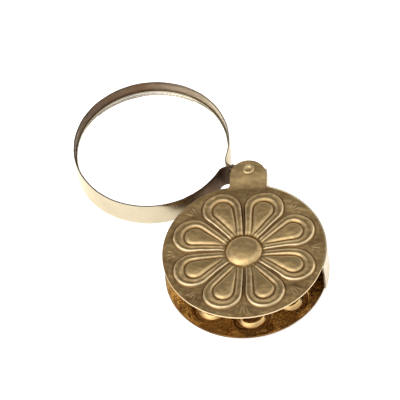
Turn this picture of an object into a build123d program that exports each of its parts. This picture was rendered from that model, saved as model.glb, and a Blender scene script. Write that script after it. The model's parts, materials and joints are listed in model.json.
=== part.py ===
"""Folding pocket loupe: a biconvex lens in a brass hoop that swings out of a stamped brass case.

The case is two round covers with an ear each, held apart by a bent strip along one side. A rivet
through the two ears is the pivot. The hoop is one strip round the lens, with its two ends turned
outward and gripped by a rolled knuckle on the rivet.

Frame: millimetres, +Z up, origin at the centre of the case on the surface that it rests on. The
pivot lies along +Y from the origin. The lens is modelled swung out of the case by OPEN_ANGLE.
"""

from build123d import *
import os
from math import cos, radians, sin, tan

# Case
COVER_RADIUS = 26.0
SHEET = 0.5
CASE_HEIGHT = 11.25  # over the flat faces of the two covers
EAR_RADIUS = 5.8
EAR_CENTRE_Y = 30.2
EAR_CORNER_RADIUS = 1.2
PIVOT_Y = 32.2

# Pressed flower, standing out of the case on both covers
DOME_RADIUS = 6.2
DOME_HEIGHT = 1.7
DOME_CROWN_RADIUS = 3.4  # flat in the middle
PETALS = 8
TOP_PETAL_TURN = 25.5  # degrees from +Y to the first petal, seen from outside the case
BOTTOM_PETAL_TURN = 36.7
PETAL_START = 7.4  # distance from the case's centre where a petal begins
PETAL_APEX = 3.0  # distance to the point that its sides run towards
PETAL_CENTRE = 17.7  # distance to the centre of its round end
PETAL_END_RADIUS = 6.3
BEAD_HEIGHT = 0.85
CHANNEL_APEX = 6.8  # shallow channel inside the bead round a petal
CHANNEL_CENTRE = 17.5
CHANNEL_END_RADIUS = 4.9
CHANNEL_HEIGHT = 0.4
PAD_APEX = 8.0  # raised teardrop inside the channel
PAD_CENTRE = 16.9
PAD_END_RADIUS = 3.6
PAD_HEIGHT = 1.15
PRESS_DRAFT = 35  # degrees of slope on the pressed sides

# Side wall
WALL = 0.45
SOLDER_GAP = 0.02
WALL_START_ANGLE = -15.0  # degrees from +X, about the case's centre
WALL_EAR_ANGLE = 24.0  # degrees from +X, about the ear's centre, where it ends

# Pivot
RIVET_RADIUS = 1.2
RIVET_HEAD_RADIUS = 1.95
RIVET_HEAD_HEIGHT = 0.6
ROLL_RADIUS = 1.25  # where the rolled end is highest
DIMPLE_RADIUS = 0.7
DIMPLE_FLOOR = 0.15  # above the cover
HOLE_CLEARANCE = 0.06
WASHER_RADIUS = 2.7
WASHER = 0.5
AXIAL_PLAY = 0.05

# Lens hoop
OPEN_ANGLE = 110.0  # degrees that the lens is swung out, clockwise from above
HOOP_RADIUS = 25.2
HOOP_STRIP = 0.45
HOOP_HEIGHT = 9.1
PIVOT_TO_LENS = 34.0
TAB_GAP = 0.3
TAB_REACH = 5.7  # from the hoop's outer face towards the pivot
BEND_RADIUS = 2.6

# Lens
LENS_CLEARANCE = 0.03
LENS_EDGE = 1.5
LENS_SURFACE_RADIUS = 130.0
LENS_BEVEL = 0.2
LENS_DROP = 0.7  # of its middle below the middle of the hoop
WIRE_RADIUS = 0.25
WIRE_LIFT = 0.08
WIRE_SPLIT = 15.0  # degrees of gap between a retaining wire's ends

# Knuckle and its screw
KNUCKLE_STRIP = 0.55
LEAF_REACH = 6.3  # from the pivot towards the lens
SCREW_FROM_PIVOT = 4.7
SCREW_RADIUS = 0.8
SCREW_HEAD_RADIUS = 1.4
SCREW_HEAD_HEIGHT = 0.9
SLOT_WIDTH = 0.4
SLOT_DEPTH = 0.45
THREAD_GAP = 0.01
NUT_FLATS = 3.0
NUT_HEIGHT = 1.2
NUT_CHAMFER = 0.2  # off the corners' radius, at 30 degrees
SCREW_TAIL = 0.4

NEAR = 0.01  # how far apart two places can be and count as one
OVERCUT = 0.01

# Heights worked out from the sizes above
BOTTOM_FACE = DOME_HEIGHT
TOP_FACE = BOTTOM_FACE + CASE_HEIGHT
GAP_FLOOR = BOTTOM_FACE + SHEET
GAP_ROOF = TOP_FACE - SHEET
MIDDLE = (BOTTOM_FACE + TOP_FACE) / 2
HOOP_INNER_RADIUS = HOOP_RADIUS - HOOP_STRIP
LENS_RADIUS = HOOP_INNER_RADIUS - LENS_CLEARANCE
LENS_MIDDLE = MIDDLE - LENS_DROP
BORE_RADIUS = RIVET_RADIUS + HOLE_CLEARANCE
TAB_FACE = TAB_GAP / 2 + HOOP_STRIP  # from the neck's middle plane to a tab's outer face
LEAF_FACE = TAB_FACE + KNUCKLE_STRIP


def case_outline(margin=0.0):
    """Plan of a cover: the disc and its ear, with the two inner corners rounded."""
    disc = Circle(COVER_RADIUS)
    ear = Pos(0, EAR_CENTRE_Y) * Circle(EAR_RADIUS)
    neck = Pos(0, EAR_CENTRE_Y / 2) * Rectangle(2 * EAR_RADIUS, EAR_CENTRE_Y)
    plan = disc + ear + neck
    corner_height = (COVER_RADIUS**2 - EAR_RADIUS**2) ** 0.5
    corners = [
        v
        for v in plan.vertices()
        if abs(abs(v.X) - EAR_RADIUS) < NEAR and abs(v.Y - corner_height) < NEAR
    ]
    plan = fillet(corners, EAR_CORNER_RADIUS)
    return offset(plan, margin, kind=Kind.ARC) if margin else plan


def teardrop(apex, centre, end_radius):
    """Plan of a teardrop along +X, with its point at apex and its round end about centre."""
    sine = end_radius / (centre - apex)
    touch_x = centre - end_radius * sine
    touch_y = end_radius * (1 - sine**2) ** 0.5
    lower = Line((apex, 0), (touch_x, -touch_y))
    end = ThreePointArc((touch_x, -touch_y), (centre + end_radius, 0), (touch_x, touch_y))
    upper = Line((touch_x, touch_y), (apex, 0))
    return make_face([lower, end, upper])


def hollow_behind(plan, height):
    """The hollow behind a raised shape, for a sheet with its face at 0."""
    return Pos(0, 0, -SHEET) * extrude(offset(plan, -SHEET / 2), height, taper=PRESS_DRAFT)


def petal():
    """One petal along +X: a bead round a shallow channel, with a raised teardrop in the middle."""
    outline = teardrop(PETAL_APEX, PETAL_CENTRE, PETAL_END_RADIUS) - Circle(PETAL_START)
    inner = teardrop(CHANNEL_APEX, CHANNEL_CENTRE, CHANNEL_END_RADIUS)
    pad = teardrop(PAD_APEX, PAD_CENTRE, PAD_END_RADIUS)
    bead = extrude(outline, BEAD_HEIGHT, taper=PRESS_DRAFT)
    channel = Pos(0, 0, CHANNEL_HEIGHT) * extrude(inner, BEAD_HEIGHT)
    raised = bead - channel + extrude(pad, PAD_HEIGHT, taper=PRESS_DRAFT)
    return raised, [hollow_behind(outline, CHANNEL_HEIGHT), hollow_behind(pad, PAD_HEIGHT)]


def dome_profile(radius, height, crown_radius, foot):
    """Half section of the dome in the XZ plane, from the axis to its foot."""
    top = Line((0, height), (crown_radius, height))
    side = TangentArc((crown_radius, height), (radius, 0), tangent=(1, 0))
    edges = [top, side]
    if foot < 0:
        edges.append(Line((radius, 0), (radius, foot)))
    edges += [Line((radius, foot), (0, foot)), Line((0, foot), (0, height))]
    return Plane.XZ * make_face(edges)


def cover(petal_turn):
    """A stamped cover with its outer face at 0 and its flower standing up along +Z."""
    sheet = Pos(0, 0, -SHEET) * extrude(case_outline(), SHEET)
    raised, petal_hollows = petal()
    hollows = []
    for i in range(PETALS):
        turn = Rot(0, 0, 90 + petal_turn + i * 360 / PETALS)
        sheet += turn * raised
        hollows += [turn * hollow for hollow in petal_hollows]
    dome = revolve(dome_profile(DOME_RADIUS, DOME_HEIGHT, DOME_CROWN_RADIUS, 0), Axis.Z)
    dome_hollow = Pos(0, 0, -SHEET) * revolve(
        dome_profile(DOME_RADIUS - SHEET, DOME_HEIGHT, DOME_CROWN_RADIUS, -OVERCUT), Axis.Z
    )
    sheet += dome
    for hollow in hollows + [dome_hollow]:
        sheet -= hollow
    hole = Pos(0, PIVOT_Y, -SHEET) * extrude(Circle(BORE_RADIUS), 2 * SHEET)
    return sheet - hole


def top_cover():
    """A cover with its flower facing up."""
    return Pos(0, 0, TOP_FACE) * cover(TOP_PETAL_TURN)


def bottom_cover():
    """A cover turned over about the Y axis, so that its flower faces down and its ear stays on the pivot."""
    return Pos(0, 0, BOTTOM_FACE) * (Rot(0, 180, 0) * cover(BOTTOM_PETAL_TURN))


def side_wall():
    """A strip soldered to the covers' edges, round the right side and up the side of the ear."""
    band = case_outline(SOLDER_GAP + WALL) - case_outline(SOLDER_GAP)
    beyond = 2 * COVER_RADIUS
    ear_end = (
        beyond * cos(radians(WALL_EAR_ANGLE)),
        EAR_CENTRE_Y + beyond * sin(radians(WALL_EAR_ANGLE)),
    )
    front_end = (beyond, beyond * tan(radians(WALL_START_ANGLE)))
    kept = make_face(Polyline((0, 0), (0, EAR_CENTRE_Y), ear_end, front_end, close=True))
    return Pos(0, 0, BOTTOM_FACE) * extrude(band & kept, CASE_HEIGHT)


def pivot_rivet():
    """Semi-tubular rivet: a low domed head below and a rolled, dimpled end above."""
    head_low = BOTTOM_FACE - RIVET_HEAD_HEIGHT
    roll_top = TOP_FACE + RIVET_HEAD_HEIGHT
    dimple_floor = TOP_FACE + DIMPLE_FLOOR
    section = [
        TangentArc((0, head_low), (RIVET_HEAD_RADIUS, BOTTOM_FACE), tangent=(1, 0)),
        Line((RIVET_HEAD_RADIUS, BOTTOM_FACE), (RIVET_RADIUS, BOTTOM_FACE)),
        Line((RIVET_RADIUS, BOTTOM_FACE), (RIVET_RADIUS, TOP_FACE)),
        Line((RIVET_RADIUS, TOP_FACE), (RIVET_HEAD_RADIUS, TOP_FACE)),
        ThreePointArc(
            (RIVET_HEAD_RADIUS, TOP_FACE),
            (ROLL_RADIUS, roll_top),
            (DIMPLE_RADIUS, dimple_floor),
        ),
        Line((DIMPLE_RADIUS, dimple_floor), (0, dimple_floor)),
        Line((0, dimple_floor), (0, head_low)),
    ]
    return Pos(0, PIVOT_Y, 0) * revolve(Plane.XZ * make_face(section), Axis.Z)


def washer(low):
    """A flat washer on the rivet with its lower face at the given height."""
    ring = Circle(WASHER_RADIUS) - Circle(BORE_RADIUS)
    return Pos(0, PIVOT_Y, low) * extrude(ring, WASHER)


def swung(piece):
    """Moves a piece from the lens's own frame, with the pivot along +Y, to its place in the case."""
    closed = Pos(0, PIVOT_Y - PIVOT_TO_LENS, 0) * piece
    return closed.rotate(Axis((0, PIVOT_Y, 0), (0, 0, 1)), -OPEN_ANGLE)


def lens_hoop():
    """The strip round the lens, with its two ends bent outward into tabs."""
    tab_end = HOOP_RADIUS + TAB_REACH
    tab_start = HOOP_RADIUS - HOOP_STRIP / 2
    ring = Circle(HOOP_RADIUS) - Circle(HOOP_INNER_RADIUS)
    tabs = Pos(0, (tab_start + tab_end) / 2) * Rectangle(2 * TAB_FACE, tab_end - tab_start)
    slit = Pos(0, HOOP_RADIUS) * Rectangle(TAB_GAP, 4 * TAB_REACH)
    plan = ring + tabs - slit
    outer = [
        v
        for v in plan.vertices()
        if abs(abs(v.X) - TAB_FACE) < NEAR and HOOP_INNER_RADIUS < v.Y < HOOP_RADIUS + NEAR
    ]
    plan = fillet(outer, BEND_RADIUS)
    inner = [
        v
        for v in plan.vertices()
        if abs(abs(v.X) - TAB_GAP / 2) < NEAR and v.Y < HOOP_INNER_RADIUS + NEAR
    ]
    plan = fillet(inner, BEND_RADIUS + HOOP_STRIP)
    strip = Pos(0, 0, MIDDLE - HOOP_HEIGHT / 2) * extrude(plan, HOOP_HEIGHT)
    return swung(strip - screw_hole())


def lens():
    """Biconvex glass with a ground, bevelled edge."""
    sphere_at_edge = (LENS_SURFACE_RADIUS**2 - LENS_RADIUS**2) ** 0.5
    bulge = LENS_SURFACE_RADIUS - sphere_at_edge
    crown = LENS_EDGE / 2 + bulge
    mid_radius = LENS_RADIUS / 2
    mid_rise = (LENS_SURFACE_RADIUS**2 - mid_radius**2) ** 0.5 - sphere_at_edge + LENS_EDGE / 2
    edge = LENS_EDGE / 2
    section = [
        ThreePointArc((0, crown), (mid_radius, mid_rise), (LENS_RADIUS, edge)),
        Line((LENS_RADIUS, edge), (LENS_RADIUS, -edge)),
        ThreePointArc((LENS_RADIUS, -edge), (mid_radius, -mid_rise), (0, -crown)),
        Line((0, -crown), (0, crown)),
    ]
    glass = revolve(Plane.XZ * make_face(section), Axis.Z)
    rims = [e for e in glass.edges() if e.geom_type == GeomType.CIRCLE]
    glass = chamfer([e for e in rims if e.radius > LENS_RADIUS - NEAR], LENS_BEVEL)
    return swung(Pos(0, 0, LENS_MIDDLE) * glass)


def retaining_wire(side):
    """A sprung, split wire against the inside of the hoop, above the lens (+1) or below it (-1)."""
    height = side * (LENS_EDGE / 2 + WIRE_RADIUS + WIRE_LIFT)
    place = Pos(HOOP_INNER_RADIUS - WIRE_RADIUS, height)
    section = Plane.XZ * (place * Circle(WIRE_RADIUS))
    ring = revolve(section, Axis.Z, 360 - WIRE_SPLIT)
    facing_neck = Rot(0, 0, 90 + WIRE_SPLIT / 2)
    return swung(Pos(0, 0, LENS_MIDDLE) * (facing_neck * ring))


def hinge_knuckle():
    """A strip rolled round the rivet, with its two leaves outside the hoop's tabs."""
    barrel_radius = BORE_RADIUS + KNUCKLE_STRIP
    barrel = Pos(0, PIVOT_TO_LENS) * Circle(barrel_radius)
    block = Pos(0, PIVOT_TO_LENS - LEAF_REACH / 2) * Rectangle(2 * LEAF_FACE, LEAF_REACH)
    mouth_length = LEAF_REACH - barrel_radius
    mouth_middle = PIVOT_TO_LENS - LEAF_REACH + mouth_length / 2
    mouth = Pos(0, mouth_middle) * Rectangle(2 * TAB_FACE, mouth_length)
    bore = Pos(0, PIVOT_TO_LENS) * Circle(BORE_RADIUS)
    plan = barrel + block - mouth - bore
    height = GAP_ROOF - GAP_FLOOR - 2 * (WASHER + AXIAL_PLAY)
    strip = Pos(0, 0, MIDDLE - height / 2) * extrude(plan, height)
    return swung(strip - screw_hole())


def on_screw(piece):
    """Lays a piece made along +Z on the screw's axis, across the neck, with +Z turned to +X."""
    return Plane((0, PIVOT_TO_LENS - SCREW_FROM_PIVOT, MIDDLE), z_dir=(1, 0, 0)) * piece


def screw_hole():
    """A clearance hole across the leaves and tabs."""
    return on_screw(extrude(Circle(SCREW_RADIUS + HOLE_CLEARANCE), 2 * LEAF_FACE, both=True))


def clamp_screw():
    """A slotted cheese-head screw through the leaves and the tabs, with its head on +X."""
    shank_length = 2 * LEAF_FACE + NUT_HEIGHT + SCREW_TAIL
    head = Pos(0, 0, LEAF_FACE) * extrude(Circle(SCREW_HEAD_RADIUS), SCREW_HEAD_HEIGHT)
    rim = head.edges().filter_by(GeomType.CIRCLE).sort_by(Axis.Z)[-1]
    head = fillet(rim, SCREW_HEAD_HEIGHT / 4)
    slot = Pos(0, 0, LEAF_FACE + SCREW_HEAD_HEIGHT - SLOT_DEPTH / 2) * Box(
        SLOT_WIDTH, 3 * SCREW_HEAD_RADIUS, SLOT_DEPTH
    )
    shank = Pos(0, 0, LEAF_FACE - shank_length) * extrude(Circle(SCREW_RADIUS), shank_length)
    return swung(on_screw(head - slot + shank))


def clamp_nut():
    """The hexagon nut on the screw, with chamfered corners."""
    corner_radius = NUT_FLATS / 2 / cos(radians(30))
    top_radius = corner_radius - NUT_CHAMFER
    base_radius = top_radius + NUT_HEIGHT / tan(radians(30))
    hexagon = extrude(RegularPolygon(corner_radius, 6), NUT_HEIGHT)
    cone = Cone(base_radius, top_radius, NUT_HEIGHT)
    crowned = hexagon & (Pos(0, 0, NUT_HEIGHT / 2) * cone)
    nut = crowned - extrude(Circle(SCREW_RADIUS + THREAD_GAP), NUT_HEIGHT)
    outward = Pos(0, 0, -LEAF_FACE) * (Rot(180, 0, 0) * nut)
    return swung(on_screw(outward))


def main():
    parts = {
        "top_cover": top_cover(),
        "bottom_cover": bottom_cover(),
        "side_wall": side_wall(),
        "pivot_rivet": pivot_rivet(),
        "lower_washer": washer(GAP_FLOOR),
        "upper_washer": washer(GAP_ROOF - WASHER),
        "lens_hoop": lens_hoop(),
        "lens": lens(),
        "upper_retaining_wire": retaining_wire(1),
        "lower_retaining_wire": retaining_wire(-1),
        "hinge_knuckle": hinge_knuckle(),
        "clamp_screw": clamp_screw(),
        "clamp_nut": clamp_nut(),
    }
    os.makedirs("parts", exist_ok=True)
    for name, shape in parts.items():
        export_step(shape, f"parts/{name}.step")


main()
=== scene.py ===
"""Looks of a folding pocket loupe of aged brass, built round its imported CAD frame.

Plan sizes below are in millimetres, in the part's own frame: the origin is at the case's centre, +Y runs
to the pivot and +Z up. Meshes are made in metres. Each side of a cover is one fine grid whose height is a
formula.
"""

import json
import math

import bmesh
import bpy
import numpy as np
from mathutils import Matrix, Vector


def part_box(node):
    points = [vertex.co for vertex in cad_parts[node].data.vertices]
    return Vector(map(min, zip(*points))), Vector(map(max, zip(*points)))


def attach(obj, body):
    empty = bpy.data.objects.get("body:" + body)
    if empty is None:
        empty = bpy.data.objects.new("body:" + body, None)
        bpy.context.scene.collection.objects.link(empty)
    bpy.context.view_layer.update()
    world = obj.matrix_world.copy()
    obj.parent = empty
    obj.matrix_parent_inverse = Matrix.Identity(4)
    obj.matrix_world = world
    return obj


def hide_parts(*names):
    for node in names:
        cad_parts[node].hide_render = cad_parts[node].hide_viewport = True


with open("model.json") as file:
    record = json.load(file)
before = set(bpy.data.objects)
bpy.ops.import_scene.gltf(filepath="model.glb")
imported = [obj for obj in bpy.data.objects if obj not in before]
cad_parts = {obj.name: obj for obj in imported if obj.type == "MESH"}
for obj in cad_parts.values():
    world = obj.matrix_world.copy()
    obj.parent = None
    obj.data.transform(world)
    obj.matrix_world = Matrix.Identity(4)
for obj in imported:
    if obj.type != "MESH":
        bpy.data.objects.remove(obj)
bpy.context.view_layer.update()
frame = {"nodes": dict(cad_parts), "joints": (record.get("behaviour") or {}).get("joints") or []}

MM = 0.001
JOIN_DISTANCE = 0.0005  # points nearer than this are one point

# Sheet and strip
SHEET = 0.5
EDGE_ROUND = 0.12
STRIP_ROUND = 0.1

# Case, from the frame
_top_low, _top_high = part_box("top_cover")
_, _bottom_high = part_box("bottom_cover")
_pivot = frame["joints"][0]["pos_m"]
COVER_RADIUS = -_top_low.y / MM
EAR_TOP = _top_high.y / MM
EAR_RADIUS = 5.8
EAR_CENTRE = EAR_TOP - EAR_RADIUS
EAR_CORNER = 1.2
PIVOT_Y = _pivot[1] / MM
TOP_FACE = _top_low.z / MM + SHEET
BOTTOM_FACE = _bottom_high.z / MM - SHEET
DOME_HEIGHT = _top_high.z / MM - TOP_FACE
WALL = 0.45
SOLDER_GAP = 0.02
WALL_START = -15.0  # degrees from +X
WALL_EAR_END = 24.0  # degrees from +X, about the ear's centre

# Lens frame, from the frame where it can be
_lens_low, _lens_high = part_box("lens")
_hoop_low, _hoop_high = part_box("lens_hoop")
LENS_CENTRE = ((_lens_low.x + _lens_high.x) / 2 / MM, (_lens_low.y + _lens_high.y) / 2 / MM)
LENS_MIDDLE = (_lens_low.z + _lens_high.z) / 2 / MM
HOOP_RADIUS = 25.2
HOOP_STRIP = 0.45
HOOP_LOW = _hoop_low.z / MM
HOOP_HIGH = _hoop_high.z / MM
NECK_ANGLE = math.atan2(PIVOT_Y - LENS_CENTRE[1], -LENS_CENTRE[0])  # from the lens to the pivot
TAB_GAP = 0.3
TAB_REACH = 5.7
BEND_RADIUS = 2.6
LENS_EDGE = 1.5
LENS_BEVEL = 0.2
LENS_SURFACE = 130.0
LENS_CLEARANCE = 0.03
WIRE_RADIUS = 0.25
WIRE_LIFT = 0.08
WIRE_SPLIT = 15.0
KNUCKLE_STRIP = 0.55
LEAF_REACH = 6.3
RIVET_RADIUS = 1.2
BORE_RADIUS = 1.26
RIVET_HEAD = 1.95
RIVET_HEAD_HEIGHT = 0.6
WASHER_RADIUS = 2.7
WASHER_ROUND = 0.08
DIMPLE_RADIUS = 0.7

# Pressed flower
PETALS = 8
TOP_PETAL_TURN = 25.5  # degrees from +Y, seen from outside the case
BOTTOM_PETAL_TURN = 36.7
PETAL = (0.3, 17.6, 6.4)  # apex, centre and end radius of the bead's outer edge
PAD = (6.3, 16.9, 3.15)  # the same for the teardrop in the middle
PAD_SHOULDER = 1.0
OUTER_PAD = (0.5, 0.45)  # how high the pad's edge is, and how far the pad rises from there
INNER_PAD = (0.2, 0.75)
# Heights across a petal, from the pad's edge at 0 to the outer edge at 1: two ridges outside, a trough inside
RIDGES = ([0.0, 0.04, 0.34, 0.58, 0.82, 1.05], [0.5, 0.4, 0.93, 0.79, 0.88, 0.0])
TROUGH = ([0.0, 0.06, 0.5, 0.72, 1.0], [0.2, 0.1, 1.2, 1.16, 0.0])
RAY_LEANS = (-0.36, 0.0, 0.36)
RAY_FOOT = 20.2
RAY_WIDTH = 0.55
RAY_HEIGHT = 0.08
DOME_RADIUS = 6.1
DOME_CROWN = 3.9
CROWN_RISE = 0.25
DRAWN_SHEET = 0.15
DIP = 0.44  # depth of the dip at the foot of the ear
WAVE = 0.034
OUT_OF_TRUE = 0.14

# Grids of the covers
EAR_COLUMNS = 100
DISC_COLUMNS = 460
DOME_GROUP = 5  # grid columns for each of the dome's
BORDER = [(0.06, 0.016), (0.02, 0.05), (0.0, 0.12)]  # rounded edge: inset and drop
TOP_STEPS = (0.2, 0.4)  # between the grid's rows, outside and inside
BOTTOM_STEPS = (0.25, 0.3)

# Wear, from 0 to 1. A hollow from 1 to 2 is mixed towards near black as well as tarnished: painted shade, in
# the deepest creases of the covers, round the lower cover's edge and on the hoop
RELIEF_REACH = 0.34  # how far round a point its surroundings are compared with it
FULL_HOLLOW = 0.08  # how far below them a full hollow is
FULL_CREST = 0.12
RUBBED_EDGE = 0.8
# painted shade: how dark the lower cover's edge is painted, under the case
DARK_EDGE = 1.5
RUBBED_EAR = 0.06
# painted shade: how dark the hoop's ends are painted by the neck
BLACK_END = 2.0


def mesh_object(name, verts_mm, faces, materials, attributes=None, slots=None):
    """A smooth mesh in the row frame from points in millimetres, with named per-point attributes.

    Points that fall together are joined, and the faces of a closed mesh are turned outward.
    """
    mesh = bpy.data.meshes.new(name)
    mesh.from_pydata((np.asarray(verts_mm, float) * MM).tolist(), [], faces)
    for key, values in (attributes or {}).items():
        layer = mesh.attributes.new(key, "FLOAT", "POINT")
        layer.data.foreach_set("value", np.asarray(values, np.float32))
    for material in materials:
        mesh.materials.append(material)
    if slots:
        mesh.polygons.foreach_set("material_index", slots)
    work = bmesh.new()
    work.from_mesh(mesh)
    bmesh.ops.remove_doubles(work, verts=work.verts, dist=JOIN_DISTANCE * MM)
    bmesh.ops.recalc_face_normals(work, faces=work.faces)
    work.to_mesh(mesh)
    work.free()
    mesh.polygons.foreach_set("use_smooth", [True] * len(mesh.polygons))
    mesh.update()
    obj = bpy.data.objects.new(name, mesh)
    bpy.context.scene.collection.objects.link(obj)
    return obj


def arc(centre, radius, start, end, step):
    """Points on an arc in plan, from one angle to another in radians, about step apart."""
    count = max(2, math.ceil(abs(end - start) * radius / step) + 1)
    return [
        (centre[0] + radius * math.cos(a), centre[1] + radius * math.sin(a))
        for a in np.linspace(start, end, count)
    ]


def ease(x, knots, heights):
    """A smooth curve through knots, level at each one."""
    x = np.clip(x, knots[0], knots[-1])
    i = np.clip(np.searchsorted(knots, x, side="right") - 1, 0, len(knots) - 2)
    low, high = np.take(knots, i), np.take(knots, i + 1)
    u = (x - low) / (high - low)
    u = u * u * (3 - 2 * u)
    return np.take(heights, i) * (1 - u) + np.take(heights, i + 1) * u


# ---------------------------------------------------------------- the pressed covers


def teardrop_distance(s, t, drop):
    """Signed distance in plan to a teardrop along s, for t of 0 or more. It is negative inside."""
    apex, centre, end = drop
    sine = end / (centre - apex)
    cosine = math.sqrt(1 - sine * sine)
    along = (s - apex) * cosine + t * sine
    side = t * cosine - (s - apex) * sine
    round_end = np.hypot(s - centre, t) - end
    touch = (centre - apex) * cosine
    distance = np.where(along > touch, round_end, side)
    return np.where(along < 0, np.hypot(s - apex, t), distance)


def petal_section(s, t, across, pad):
    """Height across a petal: the curve across its band, and its pad over a soft shoulder.

    It all gets lower towards the root.
    """
    outer = teardrop_distance(s, t, PETAL)
    inner = teardrop_distance(s, t, PAD)
    band = ease(inner / np.maximum(inner - outer, 0.1), *across)
    join = 0.5 * np.log1p(np.exp(-4.0 * t)) * ease(s, [PAD[1] - 3.0, PAD[1] + 0.5], [1.0, 0.0])
    shoulder = 1 - np.clip(1 - np.maximum(-inner - join, 0) / PAD_SHOULDER, 0, 1) ** 2
    height = np.where(inner < 0, pad[0] + pad[1] * shoulder, band)
    return height * ease(s, [6.0, 14.0], [0.55, 1.0])


def petal_height(s, t):
    """Height of a petal's outside: a band with two soft ridges, a fine groove and a low pad."""
    height = petal_section(s, t, RIDGES, OUTER_PAD)
    inside_pad = teardrop_distance(s, t, PAD) < 0
    return height + 0.1 * inside_pad * np.exp(-(((s - 16.0) / 3.0) ** 2) - (t / 1.8) ** 2)


def petal_hollow(s, t):
    """Height of a petal's inside: a round trough behind the band, and a smooth hollow behind the pad."""
    return petal_section(s, t, TROUGH, INNER_PAD)


def fan_height(s, t):
    """Three short, low ridges that fan out towards the rim, in the gap between two petals."""
    height = np.zeros_like(s)
    for lean in RAY_LEANS:
        across = np.abs(t - lean * (s - RAY_FOOT)) / math.hypot(1, lean)
        ridge = ease(across, [0.0, RAY_WIDTH], [1.0, 0.0])
        reach = ease(s, [20.6, 22.6, 23.2, 24.8], [0.0, 1.0, 1.0, 0.0])
        height = np.maximum(height, RAY_HEIGHT * ridge * reach)
    return height


def dome_height(r):
    """The button in the middle: a low crown and a rounded side that steepens to its foot."""
    side = DOME_HEIGHT - CROWN_RISE
    crown = CROWN_RISE * (1 - (r / DOME_CROWN) ** 2)
    fall = np.clip((r - DOME_CROWN) / (DOME_RADIUS - DOME_CROWN), 0, 1) ** 1.7
    return np.where(r < DOME_CROWN, side + crown, side * (1 - fall))


def flower(x, y, petal_turn, petal_shape):
    """A petal shape's height repeated round the centre, over a pattern that is slightly out of true."""
    x, y = x + OUT_OF_TRUE * np.sin(0.33 * y + 1.1 + petal_turn), y + OUT_OF_TRUE * np.sin(0.29 * x + 0.4)
    r = np.hypot(x, y)
    sector = 2 * math.pi / PETALS
    turned_by = np.arctan2(y, x) - math.radians(90 + petal_turn)
    from_petal = np.abs((turned_by + sector / 2) % sector - sector / 2)
    from_gap = sector / 2 - from_petal
    petal = petal_shape(r * np.cos(from_petal), r * np.sin(from_petal))
    fan = fan_height(r * np.cos(from_gap), r * np.sin(from_gap))
    return petal * ease(r, [6.2, 7.6], [0.35, 1.0]), fan


def dish(x, y):
    """Unevenness of the sheet: a soft dip at the foot of the ear, and slight waves, choppier at the rim."""
    r = np.hypot(x, y)
    dip = DIP * ease(y, [20.6, 25.0, 31.5], [0.0, 1.0, 0.0]) * ease(np.abs(x), [5.5, 9.5], [1.0, 0.0])
    waves = np.sin(0.83 * x + 1.3) + np.sin(0.71 * y + 0.4) + np.sin(0.52 * x - 0.61 * y + 2.1)
    waves += 0.3 * (np.sin(1.9 * x + 0.7 * y) + np.sin(1.3 * x - 1.7 * y + 0.9))
    waves += 0.6 * np.sin(2.1 * x + 1.3 * y) * np.sin(1.2 * x - 1.9 * y) * ease(r, [19.0, 22.0], [0.0, 1.0])
    return WAVE * waves * ease(r, [7.0, 10.0], [0.0, 1.0]) * ease(r, [24.8, 25.8], [1.0, 0.4]) - dip


def outside_height(x, y, petal_turn):
    """Height of a cover's outside over its flat, in plan."""
    petal, fan = flower(x, y, petal_turn, petal_height)
    fan = np.where((np.abs(x) < EAR_RADIUS) & (y > 0), 0.4 * fan, fan)
    return np.maximum(np.maximum(petal, fan), dome_height(np.hypot(x, y))) + dish(x, y)


def inside_height(x, y, petal_turn):
    """Height of a cover's inside over the flat of its outside. The sheet is thinner where it is drawn."""
    petal, fan = flower(x, y, petal_turn, petal_hollow)
    dome = dome_height(np.hypot(x, y) + SHEET / 2)
    hollow = np.maximum(np.maximum(petal, 0.8 * fan), dome)
    limit = outside_height(x, y, petal_turn) - DRAWN_SHEET
    return np.minimum(hollow + dish(x, y) - SHEET, limit)


def ear_outline(count):
    """Points and outward normals round the ear, from the disc on its +X side to the disc on its -X side."""
    centre = (EAR_RADIUS + EAR_CORNER, 0.0)
    high = math.sqrt((COVER_RADIUS + EAR_CORNER) ** 2 - centre[0] ** 2)
    first = math.atan2(high, centre[0])
    # Half the way round: the corner's arc from the disc, the straight side and a quarter circle
    lengths = [EAR_CORNER * first, EAR_CENTRE - high, EAR_RADIUS * math.pi / 2]
    half = sum(lengths)
    points = []
    for u in np.linspace(0, 2 * half, count):
        v = min(u, 2 * half - u)
        if v < lengths[0]:
            a = math.pi + first - v / EAR_CORNER
            place = (centre[0] + EAR_CORNER * math.cos(a), high + EAR_CORNER * math.sin(a))
            normal = (-math.cos(a), -math.sin(a))
        elif v < lengths[0] + lengths[1]:
            place = (EAR_RADIUS, high + v - lengths[0])
            normal = (1.0, 0.0)
        else:
            a = (v - lengths[0] - lengths[1]) / EAR_RADIUS
            place = (EAR_RADIUS * math.cos(a), EAR_CENTRE + EAR_RADIUS * math.sin(a))
            normal = (math.cos(a), math.sin(a))
        mirror = 1 if u <= half else -1
        points.append((mirror * place[0], place[1], mirror * normal[0], normal[1]))
    return first, np.array(points)


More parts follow.
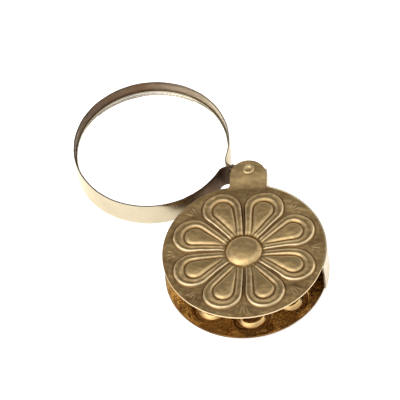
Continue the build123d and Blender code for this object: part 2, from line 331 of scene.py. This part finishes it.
def cover_plan(row_step):
    """The grid of a cover in plan: dome rings, disc rings, ear rows and the outline with its normals."""
    first, ear = ear_outline(EAR_COLUMNS + 1)
    ear_angles = np.linspace(first, math.pi - first, EAR_COLUMNS + 1)
    disc_angles = np.linspace(math.pi - first, 2 * math.pi + first, DISC_COLUMNS + 1)[1:-1]
    angles = np.concatenate([ear_angles, disc_angles])
    radial = np.stack([np.cos(angles), np.sin(angles)], -1)
    outline = np.concatenate([ear[:, :2], COVER_RADIUS * radial[EAR_COLUMNS + 1 :]])
    normals = np.concatenate([ear[:, 2:], radial[EAR_COLUMNS + 1 :]])
    inset = outline - EDGE_ROUND * normals
    last = COVER_RADIUS - EDGE_ROUND
    radii = np.linspace(DOME_RADIUS + 0.3, last, round((last - DOME_RADIUS) / row_step))
    disc = radii[:, None, None] * radial[None]
    dome_radii = np.concatenate([np.linspace(0.6, 4.6, 9), np.linspace(4.85, DOME_RADIUS, 9)])
    dome = dome_radii[:, None, None] * radial[None, ::DOME_GROUP]
    share = np.linspace(0, 1, round(10 / (2 * row_step)) + 1)[1:, None, None]
    near = disc[-1][: EAR_COLUMNS + 1]
    ear_rows = near + share * (inset[: EAR_COLUMNS + 1] - near)
    return dome, disc, ear_rows, outline, normals


def cover_face(row_step):
    """Plan points and faces of one side of a cover, seen from above, and the loop round its border."""
    dome, disc, ear_rows, outline, normals = cover_plan(row_step)
    columns = disc.shape[1]
    groups = dome.shape[1]
    blocks = [np.zeros((1, 2)), dome.reshape(-1, 2), disc.reshape(-1, 2), ear_rows.reshape(-1, 2)]
    starts = np.cumsum([0] + [len(b) for b in blocks])
    faces = [(0, starts[1] + k, starts[1] + (k + 1) % groups) for k in range(groups)]

    def quads(start, rows, width, closed):
        for i in range(rows - 1):
            for j in range(width if closed else width - 1):
                a = start + i * width + j
                b = start + i * width + (j + 1) % width
                yield (a, a + width, b + width, b)

    faces += quads(starts[1], dome.shape[0], groups, True)
    inner = starts[1] + (dome.shape[0] - 1) * groups
    for k in range(groups):
        rim = [starts[2] + (DOME_GROUP * k + m) % columns for m in range(DOME_GROUP + 1)]
        faces.append((inner + k, *rim, inner + (k + 1) % groups))
    faces += quads(starts[2], disc.shape[0], columns, True)
    last = starts[2] + (disc.shape[0] - 1) * columns
    width = EAR_COLUMNS + 1
    faces += [(last + j, starts[3] + j, starts[3] + j + 1, last + j + 1) for j in range(EAR_COLUMNS)]
    faces += quads(starts[3], ear_rows.shape[0], width, False)
    ear_last = starts[3] + (ear_rows.shape[0] - 1) * width
    border = [ear_last + j for j in range(width)] + [last + j for j in range(width, columns)]
    return np.concatenate(blocks), faces, border, outline, normals


def relief(x, y, height):
    """How far each point lies in a hollow, and how far on a crest. The ear is a little rubbed all over."""
    reach = RELIEF_REACH
    here = height(x, y)
    around = height(x + reach, y) + height(x - reach, y) + height(x, y + reach) + height(x, y - reach)
    around = around / 4
    on_ear = ease(y, [24.0, 28.0], [0.0, 1.0])
    low_lying = 0.3 * (1 - on_ear) * np.clip(1 - here / 0.3, 0, 1)
    # patina in hollows; in the deepest creases the value passes 1, which paints near-black shade over it
    hollow = np.clip((around - here) / FULL_HOLLOW + low_lying, 0, 1.3)
    return hollow, np.clip((here - around) / FULL_CREST + RUBBED_EAR * on_ear, 0, 1)


def cover(name, face_up, petal_turn, steps, materials):
    """A pressed cover. It is at the case's top if it faces up, or else turned over at the bottom.

    The steps between grid rows and the materials are given for the outside and then the inside. The
    upper one's edge is rubbed bright, and the lower one's is painted dark, as painted shade under the case.
    """
    outer, outer_faces, outer_border, outline, normals = cover_face(steps[0])
    inner, inner_faces, inner_border, _, _ = cover_face(steps[1])

    def outside(x, y):
        return outside_height(x, y, petal_turn)

    def inside(x, y):
        return inside_height(x, y, petal_turn)

    outer_height = outside(*outer.T)
    inner_height = inside(*inner.T)
    hollow, crest = relief(*outer.T, outside)
    inner_crest, inner_hollow = relief(*inner.T, lambda x, y: inside(x, y) + SHEET)
    points = [np.column_stack([outer, outer_height]), np.column_stack([inner, inner_height])]
    offset = len(outer)
    faces = list(outer_faces)
    faces += [tuple(offset + v for v in reversed(f)) for f in inner_faces]
    start = offset + len(inner)
    count = len(outline)
    top_edge = outer_height[outer_border]
    low_edge = inner_height[inner_border]
    rings = [(inset, top_edge - drop) for inset, drop in BORDER]
    rings += [(inset, low_edge + drop) for inset, drop in reversed(BORDER)]
    for inset, height in rings:
        points.append(np.column_stack([outline - inset * normals, height]))
    loops = [outer_border]
    loops += [list(range(start + i * count, start + (i + 1) * count)) for i in range(len(rings))]
    loops += [[offset + v for v in inner_border]]
    for upper, lower in zip(loops[:-1], loops[1:]):
        for j in range(count):
            k = (j + 1) % count
            faces.append((upper[j], lower[j], lower[k], upper[k]))
    points = np.concatenate(points)
    edge = np.ones(len(rings) * count)
    attributes = {
        # the lower cover's edge is painted shade
        "hollow": np.concatenate([hollow, inner_hollow, (0.0 if face_up else DARK_EDGE) * edge]),
        "crest": np.concatenate([crest, inner_crest, (RUBBED_EDGE if face_up else 0.0) * edge]),
    }
    if face_up:
        points = points + [0, 0, TOP_FACE]
    else:
        points = points * [-1, 1, -1] + [0, 0, BOTTOM_FACE]
    slots = [0] * len(faces)
    slots[len(outer_faces) : len(outer_faces) + len(inner_faces)] = [1] * len(inner_faces)
    return mesh_object(name, points, faces, materials, attributes, slots)


# ---------------------------------------------------------------- strips, turned parts and wires


def strip(name, path, thickness, low, high, material, waviness, face_darkening, edge, dark_faces_fade=(1, 2), blackened=(0.1, 0.1)):
    """A strip standing on edge along a plan path, with rounded edges and closed ends.

    The face darkening is how dark its right and left faces are painted, seen along the path, and the edge is
    how dark and how rubbed its edges are. 0 is clean, 1 is the tarnish colour and 2 is near black. The
    darkening fades between the two shares of the length in dark_faces_fade, and the first and last ends are
    painted near black for the lengths in blackened. On the hoop, the wall and the knuckle this darkening is
    painted shade.
    """
    path = np.array(path, float)
    along = np.concatenate([[0], np.cumsum(np.linalg.norm(np.diff(path, axis=0), axis=1))])
    tangent = np.gradient(path, along, axis=0)
    tangent /= np.linalg.norm(tangent, axis=1)[:, None]
    normal = np.stack([tangent[:, 1], -tangent[:, 0]], -1)
    half = thickness / 2
    corner = [(1 - math.cos(a), 1 - math.sin(a)) for a in np.linspace(0, math.pi / 2, 4)]
    heights = np.linspace(low + STRIP_ROUND, high - STRIP_ROUND, 9)
    section = [(half, z, face_darkening[0], 0.0) for z in heights]
    section += [(half - c * STRIP_ROUND, high - STRIP_ROUND * s, *edge) for c, s in corner[1:]]
    section += [(-half + c * STRIP_ROUND, high - STRIP_ROUND * s, *edge) for c, s in corner[:0:-1]]
    section += [(-half, z, face_darkening[1], 0.0) for z in heights[::-1]]
    section += [(-half + c * STRIP_ROUND, low + STRIP_ROUND * s, *edge) for c, s in corner[1:]]
    section += [(half - c * STRIP_ROUND, low + STRIP_ROUND * s, *edge) for c, s in corner[:0:-1]]
    width = len(section)
    # painted shade: the dark faces and edges fade out along the strip
    dark_faces_share = ease(along / along[-1], dark_faces_fade, [1.0, 0.15])
    # painted shade: the ends are painted near black
    blacken = BLACK_END * np.maximum(1 - along / blackened[0], 1 - (along[-1] - along) / blackened[1])
    points, dull, wear = [], [], []
    for i, (place, out) in enumerate(zip(path, normal)):
        for across, z, hollow, crest in section:
            wave = math.sin(0.31 * along[i] + 0.2 * z) + math.sin(0.83 * along[i] - 0.35 * z + 1.7)
            shift = across + waviness * wave
            points.append((place[0] + shift * out[0], place[1] + shift * out[1], z))
            dull.append(max(hollow * dark_faces_share[i], blacken[i]))
            wear.append(crest)
    faces = []
    for i in range(len(path) - 1):
        for j in range(width):
            a = i * width + j
            b = i * width + (j + 1) % width
            faces.append((a, b, b + width, a + width))
    faces.append(tuple(range(width)))
    faces.append(tuple((len(path) - 1) * width + j for j in reversed(range(width))))
    return mesh_object(name, points, faces, [material], {"hollow": dull, "crest": wear})


def turned(name, profile, centre, material, segments=72, wear=None):
    """A turned part about a vertical axis from its profile of (radius, height) in millimetres.

    The profile runs from the axis back to the axis, or closes on itself if it starts off the axis.
    """
    points, faces, crest = [], [], []
    width = len(profile)
    spans = width if profile[0][0] > 0 else width - 1
    for k in range(segments):
        a = 2 * math.pi * k / segments
        for m, (radius, z) in enumerate(profile):
            points.append((centre[0] + radius * math.cos(a), centre[1] + radius * math.sin(a), z))
            crest.append(wear[m] if wear else 0.0)
    for k in range(segments):
        n = (k + 1) % segments
        for m in range(spans):
            q = (m + 1) % width
            faces.append((k * width + m, n * width + m, n * width + q, k * width + q))
    attributes = {"hollow": [0.0] * len(points), "crest": crest}
    return mesh_object(name, points, faces, [material], attributes)


def wire(name, centre, radius, z, start, end, material):
    """A wire bent to an arc in plan, with rounded ends."""
    path = arc(centre, radius, start, end, 0.9)
    sides = 12
    points, faces = [], []
    caps = [(0.35, -0.22), (0.8, -0.1)]
    rings = [(path[0], start, share, back) for share, back in caps]
    rings += [(p, start + (end - start) * i / (len(path) - 1), 1.0, 0.0) for i, p in enumerate(path)]
    rings += [(path[-1], end, share, -back) for share, back in reversed(caps)]
    for (x, y), a, share, shift in rings:
        for k in range(sides):
            b = 2 * math.pi * k / sides
            r = WIRE_RADIUS * share * math.cos(b)
            points.append(
                (
                    x + r * math.cos(a) - shift * math.sin(a),
                    y + r * math.sin(a) + shift * math.cos(a),
                    z + WIRE_RADIUS * share * math.sin(b),
                )
            )
    for i in range(len(rings) - 1):
        for k in range(sides):
            n = (k + 1) % sides
            a, b = i * sides + k, i * sides + n
            faces.append((a, b, b + sides, a + sides))
    faces.append(tuple(range(sides)))
    faces.append(tuple((len(rings) - 1) * sides + k for k in reversed(range(sides))))
    attributes = {"hollow": [0.0] * len(points), "crest": [0.2] * len(points)}
    return mesh_object(name, points, faces, [material], attributes)


def eye(radius, offset, bend, tail):
    """Plan path of a strip bent round a circle at the origin, with both ends turned out along +Y."""
    centre = (offset + bend, math.sqrt((radius + bend) ** 2 - (offset + bend) ** 2))
    touch = math.atan2(centre[1], centre[0])
    step = min(0.45, radius / 8)
    right = [(offset, y) for y in np.linspace(tail, centre[1], 8)[:-1]]
    right += arc(centre, bend, math.pi, math.pi + touch, 0.12)[:-1]
    loop = arc((0, 0), radius, touch, -math.pi - touch, step)
    left = [(-x, y) for x, y in reversed(right)]
    return right + loop + left


def placed(path, centre, angle):
    """A plan path with its +Y turned to an angle from +X and its origin moved to a centre."""
    turn = angle - math.pi / 2
    c, s = math.cos(turn), math.sin(turn)
    return [(centre[0] + c * x - s * y, centre[1] + s * x + c * y) for x, y in path]


# ---------------------------------------------------------------- materials


def node(tree, kind, **settings):
    """A shader node with its settings."""
    made = tree.nodes.new(kind)
    for key, value in settings.items():
        setattr(made, key, value)
    return made


def new_material(name):
    """An empty node material: its tree and its Principled shader."""
    material = bpy.data.materials.new(name)
    material.use_nodes = True
    tree = material.node_tree
    shader = tree.nodes["Principled BSDF"]
    return material, tree, shader


def math_node(tree, operation, *values, clamp=False):
    """The output of a math node. Its inputs are sockets or numbers."""
    made = node(tree, "ShaderNodeMath", operation=operation, use_clamp=clamp)
    for i, value in enumerate(values):
        if isinstance(value, (int, float)):
            made.inputs[i].default_value = value
        else:
            tree.links.new(value, made.inputs[i])
    return made.outputs[0]


def ranged(tree, value, low, high, to_low, to_high):
    """A value mapped from one range to another, clamped."""
    made = node(tree, "ShaderNodeMapRange")
    tree.links.new(value, made.inputs["Value"])
    for key, number in zip(("From Min", "From Max", "To Min", "To Max"), (low, high, to_low, to_high)):
        made.inputs[key].default_value = number
    return made.outputs["Result"]


def noise(tree, place, scale, detail=4.0, roughness=0.55, stretch=None, turn=0.0):
    """A noise texture's value, over object coordinates, which can be stretched and turned."""
    vector = place
    if stretch:
        mapping = node(tree, "ShaderNodeMapping")
        mapping.inputs["Scale"].default_value = stretch
        mapping.inputs["Rotation"].default_value = (0.0, 0.0, turn)
        tree.links.new(place, mapping.inputs["Vector"])
        vector = mapping.outputs[0]
    texture = node(tree, "ShaderNodeTexNoise")
    texture.inputs["Scale"].default_value = scale
    texture.inputs["Detail"].default_value = detail
    texture.inputs["Roughness"].default_value = roughness
    tree.links.new(vector, texture.inputs["Vector"])
    return texture.outputs["Fac"]


def mixed(tree, share, a, b):
    """A colour between a and b. Each is a socket or a colour."""
    made = node(tree, "ShaderNodeMix", data_type="RGBA")
    tree.links.new(share, made.inputs["Factor"])
    for key, value in (("A", a), ("B", b)):
        socket = [i for i in made.inputs if i.name == key and i.type == "RGBA"][0]
        if isinstance(value, tuple):
            socket.default_value = (*value, 1.0)
        else:
            tree.links.new(value, socket)
    return [o for o in made.outputs if o.type == "RGBA"][0]


# the near-black colour of painted shade
SHADE_BLACK = (0.03, 0.016, 0.008)
GLASS_IOR = 1.52
FLOOR_GLOW = 0.45


def brass(name, clean, tarnish, rubbed, age, polish, glancing=(0.9, 0.78, 0.62), dents=0.01):
    """Aged brass: tarnish in patches and hollows, rubbed crests and edges, fine scratches and pits, and
    painted shade.

    Age and polish set how much tarnish there is and how rough the metal is. The glancing colour tints
    what it reflects edge-on. Dents are how deep its small dents are in millimetres.
    """
    material, tree, shader = new_material(name)
    place = node(tree, "ShaderNodeTexCoord").outputs["Object"]
    hollow = node(tree, "ShaderNodeAttribute", attribute_name="hollow").outputs["Fac"]
    crest = node(tree, "ShaderNodeAttribute", attribute_name="crest").outputs["Fac"]
    patches = ranged(tree, noise(tree, place, 90.0, 5.0, 0.6), 0.35, 0.68, 0.0, 1.0)
    blotches = ranged(tree, noise(tree, place, 420.0, 4.0, 0.65), 0.4, 0.75, 0.0, 1.0)
    streaks = noise(tree, place, 900.0, 3.0, 0.6, (1.0, 6.0, 1.0), 0.5)
    hairlines = noise(tree, place, 700.0, 2.0, 0.5, (0.35, 9.0, 1.0), -0.7)
    pits = noise(tree, place, 2600.0, 2.0, 0.5)
    dull = math_node(tree, "MULTIPLY", patches, 0.55 * age)
    dull = math_node(tree, "ADD", dull, math_node(tree, "MULTIPLY", blotches, 0.35 * age))
    low_down = ranged(tree, hollow, 0.0, 1.0, 0.0, 0.85)
    dull = math_node(tree, "ADD", dull, low_down)
    dull = math_node(tree, "SUBTRACT", dull, math_node(tree, "MULTIPLY", crest, 0.6), clamp=True)
    colour = mixed(tree, dull, clean, tarnish)
    # painted shade: a hollow from 1 to 2 mixes the colour towards near black, rougher and less metallic
    blackened = ranged(tree, hollow, 1.0, 2.0, 0.0, 1.0)
    colour = mixed(tree, blackened, colour, SHADE_BLACK)
    bright = math_node(tree, "MULTIPLY", crest, 0.7, clamp=True)
    colour = mixed(tree, bright, colour, rubbed)
    tree.links.new(colour, shader.inputs["Base Color"])
    rough = math_node(tree, "MULTIPLY_ADD", dull, 0.2, polish)
    rough = math_node(tree, "ADD", rough, math_node(tree, "MULTIPLY", blackened, 0.15))
    lines = ranged(tree, streaks, 0.35, 0.7, -0.04, 0.07)
    tree.links.new(math_node(tree, "ADD", rough, lines, clamp=True), shader.inputs["Roughness"])
    tree.links.new(ranged(tree, blackened, 0.0, 1.0, 1.0, 0.6), shader.inputs["Metallic"])
    shader.inputs["Specular Tint"].default_value = (*glancing, 1.0)
    fine = math_node(tree, "ADD", streaks, math_node(tree, "MULTIPLY", pits, 0.5))
    fine = math_node(tree, "ADD", fine, math_node(tree, "MULTIPLY", hairlines, 0.8))
    dented = node(tree, "ShaderNodeBump")
    dented.inputs["Distance"].default_value = dents * MM
    tree.links.new(noise(tree, place, 330.0, 1.0, 0.5), dented.inputs["Height"])
    bump = node(tree, "ShaderNodeBump")
    tree.links.new(dented.outputs["Normal"], bump.inputs["Normal"])
    bump.inputs["Strength"].default_value = 0.22
    bump.inputs["Distance"].default_value = 0.03 * MM
    tree.links.new(fine, bump.inputs["Height"])
    tree.links.new(bump.outputs["Normal"], shader.inputs["Normal"])
    return material


def clear_glass():
    """Polished optical glass with a trace of dust and wiping marks."""
    material, tree, shader = new_material("clear_glass")
    place = node(tree, "ShaderNodeTexCoord").outputs["Object"]
    smears = noise(tree, place, 160.0, 3.0, 0.6, (1.0, 3.0, 1.0), 0.9)
    tree.links.new(ranged(tree, smears, 0.45, 0.8, 0.0, 0.03), shader.inputs["Roughness"])
    tint = mixed(tree, ranged(tree, smears, 0.3, 0.8, 0.0, 1.0), (0.985, 0.99, 0.995), (0.965, 0.975, 0.985))
    tree.links.new(tint, shader.inputs["Base Color"])
    shader.inputs["Transmission Weight"].default_value = 1.0
    shader.inputs["IOR"].default_value = GLASS_IOR
    return material


def ground_glass():
    """The matt, ground edge of the lens."""
    material, tree, shader = new_material("ground_glass")
    place = node(tree, "ShaderNodeTexCoord").outputs["Object"]
    grit = noise(tree, place, 3000.0, 3.0, 0.7)
    tree.links.new(mixed(tree, grit, (0.74, 0.76, 0.77), (0.9, 0.91, 0.92)), shader.inputs["Base Color"])
    tree.links.new(ranged(tree, grit, 0.3, 0.7, 0.45, 0.7), shader.inputs["Roughness"])
    shader.inputs["Transmission Weight"].default_value = 0.4
    shader.inputs["IOR"].default_value = GLASS_IOR
    return material


def studio_floor():
    """Plain pale paper."""
    material, tree, shader = new_material("studio_floor")
    place = node(tree, "ShaderNodeTexCoord").outputs["Object"]
    fibre = noise(tree, place, 60.0, 4.0, 0.6)
    tree.links.new(mixed(tree, fibre, (0.93, 0.93, 0.93), (0.95, 0.95, 0.95)), shader.inputs["Base Color"])
    tree.links.new(ranged(tree, fibre, 0.3, 0.7, 0.85, 0.95), shader.inputs["Roughness"])
    shader.inputs["Specular IOR Level"].default_value = 0.1
    shader.inputs["Emission Color"].default_value = (1.0, 1.0, 1.0, 1.0)
    shader.inputs["Emission Strength"].default_value = FLOOR_GLOW
    return material


cover_brass = brass(
    "cover_brass",
    clean=(0.61, 0.42, 0.185),
    tarnish=(0.2, 0.115, 0.045),
    rubbed=(0.8, 0.68, 0.47),
    age=0.95,
    polish=0.17,
    dents=0.25,
)
# painted light: a lighter, less tarnished copy of the cover's brass for the covers' insides, standing in for
# the stronger light inside the case
inside_brass = brass(
    "inside_brass",
    clean=(0.64, 0.44, 0.19),
    tarnish=(0.34, 0.19, 0.08),
    rubbed=(0.8, 0.62, 0.34),
    age=0.6,
    polish=0.2,
)
wall_brass = brass(
    "wall_brass",
    clean=(0.6, 0.52, 0.38),
    tarnish=(0.16, 0.1, 0.05),
    rubbed=(0.85, 0.74, 0.52),
    age=0.35,
    polish=0.24,
    glancing=(1.0, 0.97, 0.92),
)
hoop_brass = brass(
    "hoop_brass",
    clean=(0.48, 0.42, 0.3),
    tarnish=(0.15, 0.08, 0.042),
    rubbed=(0.75, 0.66, 0.48),
    age=0.2,
    polish=0.2,
    glancing=(0.95, 0.89, 0.79),
)
# painted shade: a near-black copy of brass for the hinge's knuckle, screw and nut, tucked between the ears
dark_brass = brass(
    "dark_brass",
    clean=(0.16, 0.1, 0.055),
    tarnish=(0.05, 0.028, 0.014),
    rubbed=(0.55, 0.42, 0.24),
    age=0.6,
    polish=0.26,
)
rivet_brass = brass(
    "rivet_brass",
    clean=(0.52, 0.38, 0.18),
    tarnish=(0.2, 0.12, 0.05),
    rubbed=(0.76, 0.62, 0.38),
    age=0.6,
    polish=0.27,
)
lens_glass = clear_glass()
lens_edge = ground_glass()


# ---------------------------------------------------------------- the pieces


def finish_piece(obj, body, slot, *nodes):
    """A piece that stands for CAD nodes on a body, which hides them. The slot it is given is not used."""
    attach(obj, body)
    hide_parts(*nodes)
    return obj


def make_covers():
    """Both covers. The sides that face into the case are coarser on the upper one, where they hardly show."""
    materials = [cover_brass, inside_brass]
    upper = cover("cover_top_pressed", True, TOP_PETAL_TURN, TOP_STEPS, materials)
    lower = cover("cover_bottom_pressed", False, BOTTOM_PETAL_TURN, BOTTOM_STEPS, materials)
    finish_piece(upper, "case", "cover_brass", "top_cover")
    finish_piece(lower, "case", "cover_brass", "bottom_cover")


def make_wall():
    """The side wall, from beside the open front round to the top of the ear."""
    off = SOLDER_GAP + WALL / 2
    first, _ = ear_outline(3)
    corner = (COVER_RADIUS + EAR_CORNER) * np.array([math.cos(first), math.sin(first)])
    path = arc((0, 0), COVER_RADIUS + off, math.radians(WALL_START), first, 0.45)[:-1]
    path += arc(corner, EAR_CORNER - off, math.pi + first, math.pi, 0.12)[:-1]
    path += [(EAR_RADIUS + off, y) for y in np.linspace(corner[1], EAR_CENTRE, 9)[:-1]]
    path += arc((0, EAR_CENTRE), EAR_RADIUS + off, 0.0, math.radians(WALL_EAR_END), 0.3)
    # painted shade: the wall's inside face, turned into the case, is painted dark
    wall = strip("wall_strip", path, WALL, BOTTOM_FACE, TOP_FACE, wall_brass,
                 waviness=0.006, face_darkening=(0.0, 0.9), edge=(0.0, 1.0))
    finish_piece(wall, "case", "strip_brass", "side_wall")


def make_rivet():
    """The rivet with its low head beneath and its rolled, dimpled end above, and the two washers."""
    centre = (0.0, PIVOT_Y)
    base = BOTTOM_FACE - RIVET_HEAD_HEIGHT
    cap = (RIVET_HEAD**2 + RIVET_HEAD_HEIGHT**2) / (2 * RIVET_HEAD_HEIGHT)
    profile = [(cap * math.sin(a), base + cap * (1 - math.cos(a)))
               for a in np.linspace(0, math.asin(RIVET_HEAD / cap), 9)]
    profile += [(RIVET_HEAD - 0.05, BOTTOM_FACE), (RIVET_RADIUS, BOTTOM_FACE), (RIVET_RADIUS, TOP_FACE)]
    profile += [(RIVET_HEAD - 0.08, TOP_FACE)]
    roll = ((RIVET_HEAD + DIMPLE_RADIUS) / 2, (RIVET_HEAD - DIMPLE_RADIUS) / 2)
    profile += [(roll[0] + roll[1] * math.cos(a), TOP_FACE + RIVET_HEAD_HEIGHT * math.sin(a))
                for a in np.linspace(0.15, math.pi - 0.45, 15)]
    profile += [(0.62, TOP_FACE + 0.12), (0.45, TOP_FACE + 0.05), (0.2, TOP_FACE + 0.08), (0, TOP_FACE + 0.1)]
    wear = [0.5 if z > TOP_FACE + 0.3 else 0.0 for _, z in profile]
    rivet = turned("rivet_turned", profile, centre, rivet_brass, 64, wear)
    finish_piece(rivet, "case", "rivet_brass", "pivot_rivet")
    for node_name in ("lower_washer", "upper_washer"):
        low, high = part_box(node_name)
        low, high = low.z / MM, high.z / MM
        r = WASHER_ROUND
        ring = [(BORE_RADIUS, low + r), (BORE_RADIUS + r, low), (WASHER_RADIUS - r, low)]
        ring += [(WASHER_RADIUS, low + r), (WASHER_RADIUS, high - r), (WASHER_RADIUS - r, high)]
        ring += [(BORE_RADIUS + r, high), (BORE_RADIUS, high - r)]
        washer = turned(node_name + "_turned", ring, centre, rivet_brass, 48)
        finish_piece(washer, "case", "rivet_brass", node_name)


def make_hoop():
    """The strip round the lens, with its ends bent out into tabs, and the knuckle that grips them."""
    line = eye(HOOP_RADIUS - HOOP_STRIP / 2, TAB_GAP / 2 + HOOP_STRIP / 2,
               BEND_RADIUS + HOOP_STRIP / 2, HOOP_RADIUS + TAB_REACH)
    # painted shade: the hoop's inner face and edges are painted dark, fading along the strip, and its ends by
    # the neck near black
    hoop = strip("hoop_strip", placed(line, LENS_CENTRE, NECK_ANGLE), HOOP_STRIP,
                 HOOP_LOW, HOOP_HIGH, hoop_brass, waviness=0.02, face_darkening=(1.4, 0.0),
                 edge=(1.8, 0.0), dark_faces_fade=(0.48, 0.93), blackened=(27.0, 8.5))
    finish_piece(hoop, "lens_frame", "hoop_brass", "lens_hoop")
    low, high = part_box("hinge_knuckle")
    leaf = TAB_GAP / 2 + HOOP_STRIP + KNUCKLE_STRIP / 2
    roll = eye(BORE_RADIUS + KNUCKLE_STRIP / 2, leaf, 0.6, LEAF_REACH)
    # painted shade: the knuckle between the ears takes the dark copy of brass, darkened further on its faces
    knuckle = strip("knuckle_strip", placed(roll, (0.0, PIVOT_Y), NECK_ANGLE + math.pi), KNUCKLE_STRIP,
                    low.z / MM, high.z / MM, dark_brass,
                    waviness=0.004, face_darkening=(0.5, 0.2), edge=(0.2, 0.4))
    finish_piece(knuckle, "lens_frame", "dark_brass", "hinge_knuckle")


def make_lens():
    """The biconvex lens, with a bevelled, ground edge, and the two split wires that hold it."""
    radius = HOOP_RADIUS - HOOP_STRIP - LENS_CLEARANCE
    rise = math.sqrt(LENS_SURFACE**2 - radius**2)
    half = LENS_EDGE / 2
    upper = [(r, half + math.sqrt(LENS_SURFACE**2 - r**2) - rise)
             for r in np.linspace(0, radius - LENS_BEVEL, 40)]
    edge = [(radius, half - LENS_BEVEL), (radius, LENS_BEVEL - half)]
    profile = upper + edge + [(r, -z) for r, z in reversed(upper)]
    profile = [(r, LENS_MIDDLE + z) for r, z in profile]
    lens = turned("lens_ground", profile, LENS_CENTRE, lens_glass, 128)
    lens.data.materials.append(lens_edge)
    for polygon in lens.data.polygons:
        c = polygon.center / MM
        if math.hypot(c.x - LENS_CENTRE[0], c.y - LENS_CENTRE[1]) > radius - LENS_BEVEL:
            polygon.material_index = 1
    lens.visible_shadow = False  # clear glass leaves the paper beneath it bright
    finish_piece(lens, "lens_frame", "lens_glass", "lens")
    reach = HOOP_RADIUS - HOOP_STRIP - WIRE_RADIUS
    split = math.radians(WIRE_SPLIT) / 2
    lift = LENS_EDGE / 2 + WIRE_RADIUS + WIRE_LIFT
    for name, side in (("upper", 1), ("lower", -1)):
        ring = wire(f"{name}_wire_bent", LENS_CENTRE, reach, LENS_MIDDLE + side * lift,
                    NECK_ANGLE + split, NECK_ANGLE + 2 * math.pi - split, hoop_brass)
        finish_piece(ring, "lens_frame", "hoop_brass", f"{name}_retaining_wire")


def dress_fasteners():
    """The screw and nut keep their CAD shape, with rounded edges and the dark brass that paints the hinge's
    shade.
    """
    for name in ("clamp_screw", "clamp_nut"):
        obj = frame["nodes"][name]
        obj.data.materials.clear()
        obj.data.materials.append(dark_brass)
        bevel = obj.modifiers.new("rounded_edges", "BEVEL")
        bevel.width = 0.07 * MM
        bevel.segments = 2
        bevel.limit_method = "ANGLE"
        bevel.angle_limit = math.radians(35)
        bevel.harden_normals = False


make_covers()
make_wall()
make_rivet()
make_hoop()
make_lens()
dress_fasteners()


# ---------------------------------------------------------------- studio


# Soft fields of light in the sky: direction, angles in degrees where they are full and where they end,
# and strength
SKY_FIELDS = [
    ((-0.25, -0.5, 0.83), 14.0, 32.0, 0.65),
    ((-0.2, -0.4, 0.9), 15.0, 66.0, 0.93),
    ((0.85, 0.1, 0.4), 15.0, 50.0, 0.7),
    ((-0.8, -0.5, 0.3), 10.0, 40.0, 0.9),
]


def add_floor():
    """A wide sheet of pale paper under the part. It is lit past white."""
    size = 3.0
    corners = [(-size, -size, 0), (size, -size, 0), (size, size, 0), (-size, size, 0)]
    mesh = bpy.data.meshes.new("floor")
    mesh.from_pydata(corners, [], [(0, 1, 2, 3)])
    mesh.materials.append(studio_floor())
    floor = bpy.data.objects.new("floor", mesh)
    bpy.context.scene.collection.objects.link(floor)


def add_overhead_light():
    """A soft square lamp aimed at the part. Polished metal doesn't mirror it."""
    place = Vector((-0.35, -0.3, 1.0))
    target = Vector((0.0, 0.02, 0.0))
    data = bpy.data.lights.new("overhead", "AREA")
    data.shape = "SQUARE"
    data.size = 0.9
    data.energy = 9.0
    light = bpy.data.objects.new("overhead", data)
    light.location = place
    light.rotation_mode = "QUATERNION"
    light.rotation_quaternion = (target - place).to_track_quat("-Z", "Y")
    light.visible_glossy = False
    bpy.context.scene.collection.objects.link(light)


def add_world():
    """A white studio: pale round the horizon and dimmer above, with soft bright fields ahead and aside."""
    world = bpy.data.worlds.new("studio")
    bpy.context.scene.world = world
    world.use_nodes = True
    tree = world.node_tree
    place = node(tree, "ShaderNodeTexCoord").outputs["Generated"]
    split = node(tree, "ShaderNodeSeparateXYZ")
    tree.links.new(place, split.inputs[0])
    total = ranged(tree, split.outputs["Z"], 0.0, 0.5, 1.0, 0.36)
    for direction, inner, outer, strength in SKY_FIELDS:
        toward = node(tree, "ShaderNodeVectorMath", operation="DOT_PRODUCT")
        tree.links.new(place, toward.inputs[0])
        toward.inputs[1].default_value = Vector(direction).normalized()
        edge = math.cos(math.radians(outer))
        field = ranged(tree, toward.outputs["Value"], edge, math.cos(math.radians(inner)), 0.0, strength)
        total = math_node(tree, "ADD", total, field)
    tree.links.new(total, tree.nodes["Background"].inputs["Strength"])
    tree.nodes["Background"].inputs["Color"].default_value = (1.0, 1.0, 1.0, 1.0)


def add_camera():
    """A long lens, looking down on the case from its open front. Angles are in radians."""
    azimuth, elevation, roll = 0.163, 0.925, -0.141
    distance = 1.9275
    target = Vector((-0.01631, 0.02864, BOTTOM_FACE * MM))
    back = Vector((math.sin(azimuth) * math.cos(elevation), -math.cos(azimuth) * math.cos(elevation),
                   math.sin(elevation)))
    level = Vector((math.cos(azimuth), math.sin(azimuth), 0.0))
    upright = back.cross(level)
    right = math.cos(roll) * level + math.sin(roll) * upright
    up = back.cross(right)
    data = bpy.data.cameras.new("camera")
    data.sensor_width = 36.0
    data.lens = 540.0
    data.clip_start, data.clip_end = 0.1, 20.0
    camera = bpy.data.objects.new("camera", data)
    matrix = Matrix((right, up, back)).transposed().to_4x4()
    matrix.translation = target + distance * back
    camera.matrix_world = matrix
    bpy.context.scene.collection.objects.link(camera)
    bpy.context.scene.camera = camera


add_floor()
add_world()
add_overhead_light()
add_camera()
bpy.context.scene.view_settings.view_transform = "Standard"
